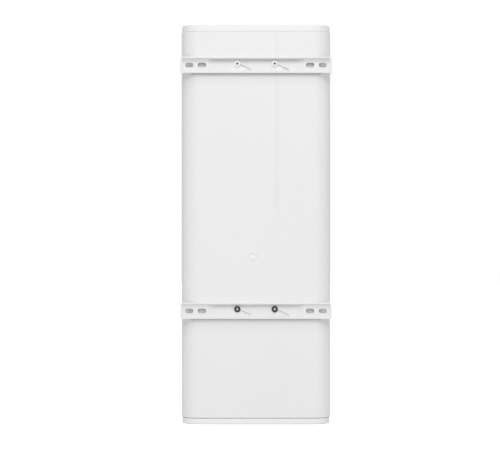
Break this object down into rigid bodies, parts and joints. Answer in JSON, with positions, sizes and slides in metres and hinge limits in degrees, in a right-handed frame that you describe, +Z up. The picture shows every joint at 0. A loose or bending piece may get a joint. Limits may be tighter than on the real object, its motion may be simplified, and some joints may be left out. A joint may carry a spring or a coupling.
{
  "type": "heat recovery unit",
  "caption": "Tall slim wall-hung heat recovery ventilation unit with rounded casing, slotted rear wall brackets, end caps with duct sockets, pull-out filters and a front control strip.",
  "frame": {"origin": "middle of the wall-slot pattern, on the wall plane that the bracket rims lie on", "axes": "+X across the unit, +Y from the wall into the room, +Z up"},
  "size_m": [0.227, 0.144, 0.6],
  "materials": {
    "casing_white": "satin moulded plastic",
    "cap_white": "satin moulded plastic",
    "bracket_white": "satin moulded plastic",
    "plug_white": "satin moulded plastic",
    "panel_white": "satin moulded plastic",
    "button_grey": "satin",
    "bezel_black": "gloss",
    "light_clear": "clear gloss",
    "screw_steel": "bright plated",
    "screw_zinc": "zinc plated, dulled",
    "insert_brass": "machined",
    "seal_rubber": "matt",
    "foam_grey": "expanded bead foam",
    "seal_foam": "open-cell foam",
    "core_plate": "thin formed sheet",
    "core_aluminium": "mill finish sheet",
    "moulding_grey": "satin",
    "tube_clear": "soft tube",
    "media_white": "pleated filter paper",
    "board_green": "laminate",
    "component_black": "moulded",
    "terminal_green": "moulded",
    "gland_grey": "moulded",
    "impeller_black": "moulded",
    "rotor_steel": "drawn cup",
    "bearing_steel": "ground",
    "stator_copper": "wound",
    "mount_rubber": "matt"
  },
  "bodies": {
    "unit": {"board_components": "component_black", "bottom_cap": "cap_white", "bottom_cap_screws": "screw_steel", "bottom_duct_seals": "seal_rubber", "bracket_inserts": "insert_brass", "cable_gland": "gland_grey", "casing_tube": "casing_white", "condensate_gutter": "moulding_grey", "control_bezel": "bezel_black", "control_board": "board_green", "core_frame": "core_aluminium", "core_plates": "core_plate", "core_seals": "seal_foam", "drain_tube": "tube_clear", "electronics_tray": "moulding_grey", "exhaust_inlet_ring": "moulding_grey", "exhaust_motor_bearings": "bearing_steel", "exhaust_motor_bracket": "moulding_grey", "exhaust_motor_screws": "screw_steel", "exhaust_motor_stator": "stator_copper", "exhaust_rubber_mounts": "mount_rubber", "extract_filter_seal": "seal_foam", "front_liner": "foam_grey", "front_panel": "panel_white", "gland_locknut": "gland_grey", "humidity_sensor": "moulding_grey", "lower_bracket_screws": "screw_zinc", "lower_wall_bracket": "bracket_white", "outdoor_filter_seal": "seal_foam", "panel_screws": "screw_steel", "rear_blanking_plug": "plug_white", "rear_liner": "foam_grey", "status_light_pipe": "light_clear", "supply_inlet_ring": "moulding_grey", "supply_motor_bearings": "bearing_steel", "supply_motor_bracket": "moulding_grey", "supply_motor_screws": "screw_steel", "supply_motor_stator": "stator_copper", "supply_rubber_mounts": "mount_rubber", "terminal_block": "terminal_green", "top_cap": "cap_white", "top_cap_screws": "screw_steel", "top_duct_seals": "seal_rubber", "tray_screws": "screw_steel", "upper_bracket_screws": "screw_steel", "upper_wall_bracket": "bracket_white"},
    "exhaust_fan_rotor": {"exhaust_impeller": "impeller_black", "exhaust_rotor_cup": "rotor_steel", "exhaust_motor_shaft": "screw_steel"},
    "supply_fan_rotor": {"supply_impeller": "impeller_black", "supply_rotor_cup": "rotor_steel", "supply_motor_shaft": "screw_steel"},
    "outdoor_filter": {"outdoor_filter_frame": "panel_white", "outdoor_filter_media": "media_white"},
    "extract_filter": {"extract_filter_frame": "panel_white", "extract_filter_media": "media_white"},
    "speed_key": {"speed_button": "button_grey"},
    "boost_key": {"boost_button": "button_grey"},
    "reset_key": {"reset_button": "button_grey"}
  },
  "joints": [
    {"name": "exhaust_fan_spin", "type": "hinge", "parent": "unit", "child": "exhaust_fan_rotor", "pos_m": [0.05, 0.0685, 0.145], "axis": [0, 0, 1], "continuous": true},
    {"name": "supply_fan_spin", "type": "hinge", "parent": "unit", "child": "supply_fan_rotor", "pos_m": [0.05, 0.0685, -0.255], "axis": [0, 0, 1], "continuous": true},
    {"name": "outdoor_filter_slide", "type": "slide", "parent": "unit", "child": "outdoor_filter", "axis": [0, 1, 0], "range_m": [0, 0.1]},
    {"name": "extract_filter_slide", "type": "slide", "parent": "unit", "child": "extract_filter", "axis": [0, 1, 0], "range_m": [0, 0.1]},
    {"name": "speed_key_press", "type": "slide", "parent": "unit", "child": "speed_key", "axis": [0, -1, 0], "range_m": [0, 0.001], "stiffness_N_per_m": 300, "springref_m": -0.0005},
    {"name": "boost_key_press", "type": "slide", "parent": "unit", "child": "boost_key", "axis": [0, -1, 0], "range_m": [0, 0.001], "stiffness_N_per_m": 300, "springref_m": -0.0005},
    {"name": "reset_key_press", "type": "slide", "parent": "unit", "child": "reset_key", "axis": [0, -1, 0], "range_m": [0, 0.001], "stiffness_N_per_m": 300, "springref_m": -0.0005}
  ]
}
